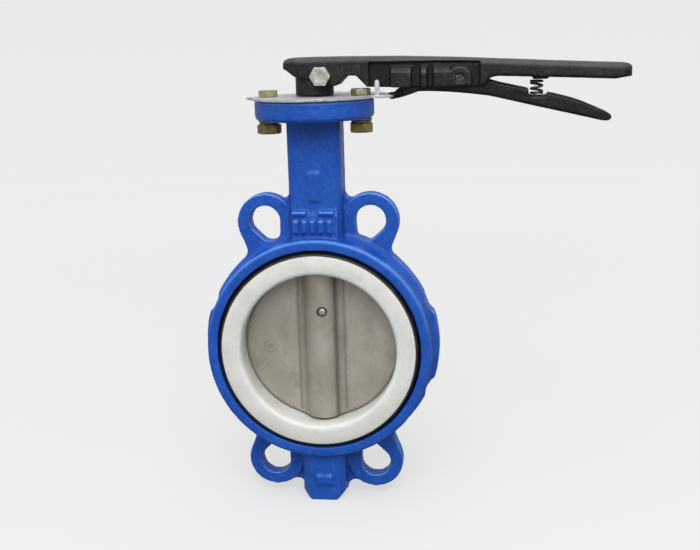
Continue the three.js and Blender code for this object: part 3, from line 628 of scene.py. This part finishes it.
def flat_washer(side):
    low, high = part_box("flange_washer_" + side)
    middle = (low + high) / 2
    inner, outer, edge = 5.2 * MM, (high.x - low.x) / 2, 0.3 * MM
    obj = turned("washer_" + side, [
        (inner, low.z), (outer - edge, low.z), (outer, low.z + edge), (outer, high.z - edge),
        (outer - edge, high.z), (inner, high.z),
    ], "Z")
    return moved(shade(obj), (middle.x, middle.y, 0))


def split_washer(side):
    """A spring lock washer: a square ring cut once, its two ends standing apart."""
    low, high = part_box("spring_washer_" + side)
    middle = (low + high) / 2
    inner, outer, rise, steps = 5.2 * MM, 7.6 * MM, 0.35 * MM, 72
    thickness = high.z - low.z - rise
    gap = math.radians(7)
    points, faces = [], []
    for i in range(steps + 1):
        turn = math.pi / 2 + gap + (FULL_TURN - 2 * gap) * i / steps
        base = low.z + rise * i / steps
        for radius, height in ((inner, base), (outer, base), (outer, base + thickness),
                (inner, base + thickness)):
            points.append((radius * math.cos(turn), radius * math.sin(turn), height))
    for i in range(steps):
        for j in range(4):
            a, b = 4 * i + j, 4 * i + (j + 1) % 4
            faces.append((a, b, b + 4, a + 4))
    faces += [(0, 1, 2, 3), (4 * steps, 4 * steps + 1, 4 * steps + 2, 4 * steps + 3)]
    obj = mesh_object("lock_washer_" + side, points, faces)
    return moved(bevelled(obj, 0.12 * MM), (middle.x, middle.y, 0))


def clamp_axis(obj):
    """Lays a piece made along Z onto the clamp bolt's axis, its top end towards the front."""
    low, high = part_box("clamp_nut")
    middle = (low + high) / 2
    obj.data.transform(Matrix.Rotation(math.radians(90), 4, "X"))
    return moved(obj, (middle.x, 0, middle.z))


def clamp_bolt():
    """The clamp bolt, with a shallow dish in its head and a thread through its nut."""
    low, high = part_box("clamp_bolt")
    top, tail = -low.y, -high.y
    under, shank = top - 5.4 * MM, 3.8 * MM
    obj = chamfered_hexagon("clamp_screw", SMALL_HEAD_FLATS, under, top, 0, both_ends=False)
    dish = turned("tool", [(0, top - 0.3 * MM), (3.2 * MM, top - 0.25 * MM), (4.4 * MM, top + 0.2 * MM),
        (0, top + 0.2 * MM)], "Z", SMALL_SEGMENTS, closed=False)
    combine(obj, dish, "DIFFERENCE")
    combine(obj, rod(shank, -12 * MM, under + 1 * MM, segments=SMALL_SEGMENTS), "UNION")
    combine(obj, threaded_rod("tool", shank, tail, -11 * MM, 1.25 * MM), "UNION")
    return clamp_axis(fastener_edges(obj))


def clamp_nut():
    low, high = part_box("clamp_nut")
    bore = 4.1 * MM
    obj = chamfered_hexagon("clamp_screw_nut", SMALL_HEAD_FLATS, -high.y, -low.y, math.radians(12))
    combine(obj, rod(bore, -high.y - 1 * MM, 1 * MM - low.y, segments=SMALL_SEGMENTS), "DIFFERENCE")
    return clamp_axis(fastener_edges(obj))


def tube_along(name, line, radius, sides=14):
    """A round wire along a line of points, its ends closed."""
    line = [Vector(point) for point in line]
    side = Vector((0, 0, 1))
    points, faces = [], []
    for i, here in enumerate(line):
        ahead = (line[min(i + 1, len(line) - 1)] - line[max(i - 1, 0)]).normalized()
        side = (side - ahead * side.dot(ahead)).normalized()
        other = ahead.cross(side)
        for j in range(sides):
            turn = FULL_TURN * j / sides
            points.append(tuple(here + radius * (math.cos(turn) * side + math.sin(turn) * other)))
    for i in range(len(line) - 1):
        for j in range(sides):
            a, b = i * sides + j, i * sides + (j + 1) % sides
            faces.append((a, b, b + sides, a + sides))
    last = (len(line) - 1) * sides
    faces += [tuple(range(sides)), tuple(range(last, last + sides))]
    return shade(mesh_object(name, points, faces), angle=50)


def trigger_spring():
    """A short coil spring, closed up at both ends."""
    low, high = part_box("trigger_spring")
    middle = (low + high) / 2
    wire, radius, turns, steps = 0.9 * MM, 4.0 * MM, 3.5, 150
    bottom, top = low.z + wire, high.z - wire
    line = []
    for i in range(steps + 1):
        t = i / steps
        eased = min(max((t * turns - 0.7) / (turns - 1.4), 0), 1)
        angle = FULL_TURN * turns * t
        height = bottom + (top - bottom) * (0.9 * eased + 0.1 * t)
        line.append((middle.x + radius * math.cos(angle), radius * math.sin(angle), height))
    return tube_along("coil_spring", line, wire)


def stem():
    """The stem, crisp where its square end shows."""
    return crisp("stem", "valve_stem", 0.35 * MM)


def index_plate():
    """The pressed plate, with its sheared edges just broken."""
    return crisp("notch_plate", "index_plate", 0.22 * MM)


def lever_casting():
    """The lever, with painted shade in the pockets of its cheeks and a painted highlight on top."""
    pocket_start, pocket_end, pocket_top = 41 * MM, 124 * MM, 214 * MM
    pocket_floor, pocket_rim = 7.6 * MM, 11.2 * MM
    obj = softened("lever", "hand_lever", voxel=0.7 * MM, passes=4, texture_depth=0.22 * MM)
    rounded_edges(obj, radius=5 * MM, start=-19 * MM, end=229 * MM)
    rounded_edges(obj, radius=2.5 * MM, start=130 * MM, end=229 * MM, side=-1)
    mark_edges(obj, strength=8, spread=8)
    along, out, height = np.abs(points_of(obj)).T
    beside = (along > pocket_start) & (along < pocket_end) & (out > pocket_floor) & (height < pocket_top)
    # Painted shade in the pockets of the cheeks, under the top rim.
    at_least(obj, "hollow", beside * np.clip((pocket_rim - out) / (1.8 * MM), 0, 1))
    # Painted highlight on faces that look up, weaker in the pockets.
    painted_top_highlight = 0.6 * np.clip((normals_of(obj)[:, 2] - 0.1) / 0.5, 0, 1)
    at_least(obj, "edge", painted_top_highlight * np.where(beside, 0.35, 1))
    return obj


def trigger_casting():
    """The trigger, darkened all over: painted shade from the lever above it, and grease."""
    obj = softened("trigger", "squeeze_trigger", voxel=0.6 * MM, passes=5, texture_depth=0.18 * MM)
    rounded_edges(obj, radius=2.5 * MM, start=122 * MM, end=205 * MM)
    rounded_edges(obj, radius=2.5 * MM, start=60 * MM, end=205 * MM, side=-1)
    mark_edges(obj, strength=4)
    # Painted shade all over, for lying under the lever, and grease.
    at_least(obj, "hollow", 0.5)
    return obj


def pivot_pin():
    """A rolled pin whose hollow is closed a little way in: a dark floor that stands in for the shade
    down the tube.
    """
    low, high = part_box("trigger_pivot_pin")
    middle = (low + high) / 2
    outer, inner, edge, sunk = (high.x - low.x) / 2, 1.3 * MM, 0.4 * MM, 1.2 * MM
    half = [(0, high.y - sunk), (inner, high.y - sunk), (inner, high.y), (outer - edge, high.y),
        (outer, high.y - edge)]
    profile = [*half, *[(radius, -along) for radius, along in reversed(half)]]
    obj = turned("pivot_pin", profile, "Y", SMALL_SEGMENTS, closed=False)
    obj.data.transform(Matrix.Translation((middle.x, 0, middle.z)))
    return shade(obj)


# ---------------------------------------------------------------- materials


class Look:
    """A Principled material in the making, with short ways to add the nodes it needs."""

    def __init__(self, name, **constants):
        self.material = bpy.data.materials.new(name)
        self.material.use_nodes = True
        self.tree = self.material.node_tree
        self.shader = self.tree.nodes["Principled BSDF"]
        self.place = self.tree.nodes.new("ShaderNodeTexCoord").outputs["Object"]
        self.normal = None
        for socket, value in constants.items():
            self.shader.inputs[socket.replace("_", " ")].default_value = value

    def link(self, value, socket):
        """Feeds a socket with another node's output, or with a plain value."""
        if isinstance(value, bpy.types.NodeSocket):
            self.tree.links.new(value, socket)
        else:
            socket.default_value = value

    def noise(self, size, detail=3, stretch=(1, 1, 1)):
        """Cloudy noise whose patches are about this size, from 0 to 1."""
        node = self.tree.nodes.new("ShaderNodeTexNoise")
        node.inputs["Scale"].default_value = 1 / size
        node.inputs["Detail"].default_value = detail
        place = self.place
        if stretch != (1, 1, 1):
            mapping = self.tree.nodes.new("ShaderNodeMapping")
            mapping.inputs["Scale"].default_value = stretch
            self.tree.links.new(place, mapping.inputs["Vector"])
            place = mapping.outputs["Vector"]
        self.tree.links.new(place, node.inputs["Vector"])
        return node.outputs["Fac"]

    def rings(self, size, keep=(1, 0, 1), detail=2):
        """Fine rings about an axis, as a lathe tool leaves them."""
        flat = self.tree.nodes.new("ShaderNodeVectorMath")
        flat.operation = "MULTIPLY"
        flat.inputs[1].default_value = keep
        length = self.tree.nodes.new("ShaderNodeVectorMath")
        length.operation = "LENGTH"
        node = self.tree.nodes.new("ShaderNodeTexNoise")
        node.noise_dimensions = "1D"
        node.inputs["Scale"].default_value = 1 / size
        node.inputs["Detail"].default_value = detail
        self.tree.links.new(self.place, flat.inputs[0])
        self.tree.links.new(flat.outputs[0], length.inputs[0])
        self.tree.links.new(length.outputs["Value"], node.inputs["W"])
        return node.outputs["Fac"]

    def stored(self, name):
        node = self.tree.nodes.new("ShaderNodeAttribute")
        node.attribute_name = name
        return node.outputs["Fac"]

    def span(self, value, low, high, to_low=0.0, to_high=1.0):
        """Stretches a range of values to another, held at its ends."""
        node = self.tree.nodes.new("ShaderNodeMapRange")
        for socket, amount in zip(("From Min", "From Max", "To Min", "To Max"),
                (low, high, to_low, to_high)):
            node.inputs[socket].default_value = amount
        self.tree.links.new(value, node.inputs["Value"])
        return node.outputs["Result"]

    def mix(self, share, first, second):
        node = self.tree.nodes.new("ShaderNodeMix")
        node.data_type = "RGBA"
        self.link(share, node.inputs[0])
        self.link(first if isinstance(first, bpy.types.NodeSocket) else (*first, 1), node.inputs[6])
        self.link(second if isinstance(second, bpy.types.NodeSocket) else (*second, 1), node.inputs[7])
        return node.outputs[2]

    def math(self, operation, first, second):
        node = self.tree.nodes.new("ShaderNodeMath")
        node.operation = operation
        self.link(first, node.inputs[0])
        self.link(second, node.inputs[1])
        return node.outputs[0]

    def bump(self, height, depth, strength=1.0):
        """Adds relief of this depth to what is there already."""
        node = self.tree.nodes.new("ShaderNodeBump")
        node.inputs["Distance"].default_value = depth
        node.inputs["Strength"].default_value = strength
        self.tree.links.new(height, node.inputs["Height"])
        if self.normal is not None:
            self.tree.links.new(self.normal, node.inputs["Normal"])
        self.normal = node.outputs["Normal"]

    def done(self, color, roughness=None):
        self.link(color, self.shader.inputs["Base Color"])
        if roughness is not None:
            self.link(roughness, self.shader.inputs["Roughness"])
        if self.normal is not None:
            self.tree.links.new(self.normal, self.shader.inputs["Normal"])
        return self.material


def blue_enamel():
    """Glossy blue enamel sprayed thinly over rough cast iron, with a painted highlight on edges that
    face up and painted shade in hollows.
    """
    look = Look("blue_enamel", Specular_IOR_Level=0.16, Coat_Weight=0.04, Coat_Roughness=0.2)
    patches = look.noise(22 * MM, 4)
    color = look.mix(look.span(patches, 0.35, 0.7), (0.008, 0.056, 0.30), (0.013, 0.076, 0.37))
    mottle = look.noise(3.5 * MM, 4)
    color = look.mix(look.span(mottle, 0.5, 0.75, 0, 0.4), color, (0.025, 0.12, 0.50))
    grime = look.noise(1.7 * MM, 4)
    color = look.mix(look.span(grime, 0.5, 0.72, 0, 0.4), color, (0.004, 0.034, 0.21))
    # Painted highlight: paler blue on edges that face up.
    color = look.mix(look.span(look.stored("edge"), 0.12, 0.7, 0, 0.85), color, (0.10, 0.29, 0.80))
    # Painted shade: darker blue in hollows and just under the plate.
    color = look.mix(look.span(look.stored("hollow"), 0.08, 0.8, 0, 0.6), color, (0.005, 0.030, 0.19))
    specks = look.span(look.noise(2.2 * MM, 2), 0.69, 0.76)
    color = look.mix(look.math("MULTIPLY", specks, 0.55), color, (0.010, 0.018, 0.07))
    look.bump(look.noise(2.6 * MM, 5), 0.4 * MM, 0.7)
    look.bump(look.noise(0.8 * MM, 2), 0.08 * MM, 0.5)
    return look.done(color, look.span(mottle, 0.3, 0.7, 0.34, 0.5))


def moulded_rubber():
    look = Look("moulded_rubber", Specular_IOR_Level=0.4)
    dust = look.noise(6 * MM, 4)
    color = look.mix(look.span(dust, 0.5, 0.75, 0, 0.6), (0.008, 0.008, 0.009), (0.03, 0.03, 0.031))
    look.bump(look.noise(0.7 * MM, 3), 0.05 * MM, 0.6)
    return look.done(color, look.span(dust, 0.3, 0.7, 0.45, 0.65))


def white_fluoropolymer():
    """Waxy white plastic, faintly cloudy, with the rings of its moulding and a little grime."""
    look = Look("white_fluoropolymer", Specular_IOR_Level=0.4, Subsurface_Weight=0.5,
        Subsurface_Radius=(1, 1, 0.95), Subsurface_Scale=6 * MM)
    cloud = look.noise(16 * MM, 4)
    color = look.mix(look.span(cloud, 0.35, 0.68), (0.57, 0.575, 0.535), (0.64, 0.645, 0.62))
    grime = look.noise(5 * MM, 5)
    color = look.mix(look.span(grime, 0.58, 0.78, 0, 0.45), color, (0.44, 0.43, 0.37))
    grain = look.noise(1.1 * MM, 3)
    color = look.mix(look.span(grain, 0.4, 0.7, 0, 0.22), color, (0.46, 0.455, 0.42))
    rings = look.rings(0.8 * MM)
    color = look.mix(look.span(rings, 0.3, 0.7, 0, 0.1), color, (0.60, 0.60, 0.56))
    look.bump(rings, 0.05 * MM, 0.5)
    look.bump(grain, 0.12 * MM, 0.5)
    return look.done(color, look.span(cloud, 0.3, 0.7, 0.36, 0.5))


def blasted_stainless():
    """Bead-blasted stainless casting with faint brownish heat and handling stains."""
    look = Look("blasted_stainless", Metallic=0.55)
    cloud = look.noise(28 * MM, 5)
    color = look.mix(look.span(cloud, 0.35, 0.7), (0.345, 0.325, 0.27), (0.43, 0.413, 0.362))
    stain = look.noise(12 * MM, 4, stretch=(1, 1, 0.55))
    color = look.mix(look.span(stain, 0.52, 0.74, 0, 0.5), color, (0.235, 0.195, 0.135))
    # Painted shade: darker in hollows, beside the hub and round the pin.
    color = look.mix(look.span(look.stored("hollow"), 0.04, 0.4, 0, 0.9), color, (0.07, 0.066, 0.056))
    grain = look.noise(0.55 * MM, 3)
    color = look.mix(look.span(grain, 0.35, 0.7, 0, 0.4), color, (0.19, 0.18, 0.155))
    look.bump(grain, 0.1 * MM, 0.6)
    look.bump(look.noise(7 * MM, 2), 0.2 * MM, 0.3)
    return look.done(color, look.span(cloud, 0.3, 0.7, 0.46, 0.58))


def plated(name, pale, dark, stain, roughness, metallic=0.85):
    """Zinc plate: cloudy between two tones, stained in patches, finely scratched."""
    look = Look(name, Metallic=metallic)
    color = look.mix(look.span(look.noise(4.5 * MM, 4), 0.35, 0.68), pale, dark)
    color = look.mix(look.span(look.noise(1.9 * MM, 4), 0.52, 0.75, 0, 0.65), color, stain)
    scratches = look.noise(0.9 * MM, 3, stretch=(1, 1, 6))
    look.bump(scratches, 0.02 * MM, 0.5)
    low, high = roughness
    return look.done(color, look.span(scratches, 0.3, 0.7, low, high))


def pressed_plate():
    """Plated sheet steel, rolled one way, with olive stains in patches."""
    look = Look("pressed_plate", Metallic=0.3)
    rolling = look.noise(1.1 * MM, 3, stretch=(0.08, 1, 1))
    color = look.mix(look.span(rolling, 0.3, 0.7), (0.31, 0.295, 0.325), (0.46, 0.44, 0.485))
    color = look.mix(look.span(look.noise(9 * MM, 5), 0.54, 0.72, 0, 0.7), color, (0.24, 0.22, 0.14))
    smudge = look.noise(17 * MM, 3)
    color = look.mix(look.span(smudge, 0.5, 0.7, 0, 0.35), color, (0.30, 0.28, 0.32))
    grease = look.noise(4 * MM, 4)
    color = look.mix(look.span(grease, 0.56, 0.7, 0, 0.6), color, (0.07, 0.065, 0.06))
    look.bump(rolling, 0.02 * MM, 0.5)
    return look.done(color, look.span(smudge, 0.3, 0.7, 0.36, 0.52))


def cast_black():
    """Black-coated cast iron, with a painted highlight where edges and tops face up and painted shade in
    the hollows.
    """
    look = Look("cast_black", Specular_IOR_Level=0.2)
    cloud = look.noise(18 * MM, 5)
    color = look.mix(look.span(cloud, 0.35, 0.7), (0.005, 0.005, 0.005), (0.014, 0.014, 0.0135))
    dust = look.noise(3.2 * MM, 5)
    color = look.mix(look.span(dust, 0.5, 0.72, 0, 0.6), color, (0.036, 0.035, 0.031))
    # Painted shade: near black in the hollows.
    color = look.mix(look.span(look.stored("hollow"), 0.1, 0.8, 0, 0.85), color, (0.003, 0.003, 0.003))
    # Painted highlight: grey on edges and faces that look up.
    color = look.mix(look.span(look.stored("edge"), 0.15, 0.8, 0, 0.7), color, (0.085, 0.09, 0.09))
    look.bump(look.noise(1.4 * MM, 5), 0.22 * MM, 0.6)
    return look.done(color, look.span(dust, 0.3, 0.7, 0.38, 0.58))


def turned_metal(name, pale, dark, rings_keep, roughness):
    """Metal fresh from the lathe, with fine rings round its axis."""
    look = Look(name, Metallic=0.9)
    rings = look.rings(0.5 * MM, rings_keep)
    color = look.mix(look.span(look.noise(8 * MM, 4), 0.35, 0.7), pale, dark)
    color = look.mix(look.span(rings, 0.3, 0.7, 0, 0.3), color, dark)
    look.bump(rings, 0.02 * MM, 0.5)
    low, high = roughness
    return look.done(color, look.span(rings, 0.3, 0.7, low, high))


def moulded_nylon():
    look = Look("moulded_nylon", Specular_IOR_Level=0.4)
    cloud = look.noise(7 * MM, 4)
    color = look.mix(look.span(cloud, 0.35, 0.7), (0.60, 0.56, 0.45), (0.68, 0.65, 0.55))
    look.bump(look.noise(0.9 * MM, 3), 0.04 * MM, 0.5)
    return look.done(color, look.span(cloud, 0.3, 0.7, 0.4, 0.55))


LOOKS = {
    "blue_paint": blue_enamel(),
    "black_rubber": moulded_rubber(),
    "white_liner": white_fluoropolymer(),
    "bronze": turned_metal("turned_bronze", (0.42, 0.26, 0.10), (0.30, 0.17, 0.06), (1, 1, 0),
        (0.3, 0.42)),
    "nylon": moulded_nylon(),
    "stem_steel": turned_metal("turned_stainless", (0.42, 0.41, 0.38), (0.31, 0.30, 0.28), (1, 1, 1),
        (0.42, 0.55)),
    "stainless_disc": blasted_stainless(),
    "plate_steel": pressed_plate(),
    "zinc_plate": plated("pale_zinc", (0.35, 0.34, 0.21), (0.26, 0.25, 0.13), (0.15, 0.13, 0.06),
        (0.4, 0.55), 0.5),
    "yellow_zinc": plated("yellow_zinc", (0.26, 0.205, 0.078), (0.15, 0.115, 0.044),
        (0.06, 0.042, 0.022), (0.28, 0.45), 0.7),
    "bright_zinc": plated("bright_zinc", (0.36, 0.36, 0.335), (0.29, 0.29, 0.26), (0.17, 0.165, 0.135),
        (0.42, 0.56), 0.4),
    "black_enamel": cast_black(),
    "spring_steel": plated("oiled_spring_steel", (0.05, 0.048, 0.044), (0.03, 0.028, 0.025),
        (0.02, 0.017, 0.014), (0.42, 0.55), 0.1),
}


# ---------------------------------------------------------------- assembly


def fit(piece, body, node):
    """Gives a piece its body and its finish, and hides the CAD node that it stands for."""
    slots = {part["node"]: part["material_slot"] for part in frame["record"]["subparts"]}
    piece.data.materials.clear()
    piece.data.materials.append(LOOKS[slots[node]])
    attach(piece, body)
    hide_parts(node)
    return piece


def finish_kept_nodes():
    """The inner pieces stay as the CAD has them and only get their materials."""
    for part in frame["record"]["subparts"]:
        node = frame["nodes"][part["node"]]
        if not node.hide_render:
            for slot in node.material_slots:
                slot.material = LOOKS[part["material_slot"]]


bpy.context.scene.view_settings.view_transform = "Standard"
add_camera()
add_sky()
add_stage()
for name, settings in SOFTBOXES.items():
    add_softbox(name, **settings)

fit(body_casting(), "valve_body", "body_casting")
fit(rubber_backing(), "valve_body", "seat_backing")
fit(seat_liner(), "valve_body", "seat_liner")
fit(index_plate(), "valve_body", "notch_plate")
for side, head_turn, nut_turn in (("left", 30, 18), ("right", 13, 42)):
    fit(flange_bolt(side, math.radians(head_turn)), "valve_body", "flange_bolt_" + side)
    fit(flat_washer(side), "valve_body", "flange_washer_" + side)
    fit(split_washer(side), "valve_body", "spring_washer_" + side)
    fit(flange_nut(side, math.radians(nut_turn)), "valve_body", "flange_nut_" + side)

fit(stem(), "stem_and_lever", "stem")
fit(disc_casting(), "stem_and_lever", "disc")
fit(hub_pin(), "stem_and_lever", "taper_pin")
fit(lever_casting(), "stem_and_lever", "lever")
fit(clamp_bolt(), "stem_and_lever", "clamp_bolt")
fit(clamp_nut(), "stem_and_lever", "clamp_nut")
fit(pivot_pin(), "stem_and_lever", "trigger_pivot_pin")
spring = fit(trigger_spring(), "stem_and_lever", "trigger_spring")
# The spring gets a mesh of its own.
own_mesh(spring)
fit(trigger_casting(), "trigger_arm", "trigger")
finish_kept_nodes()
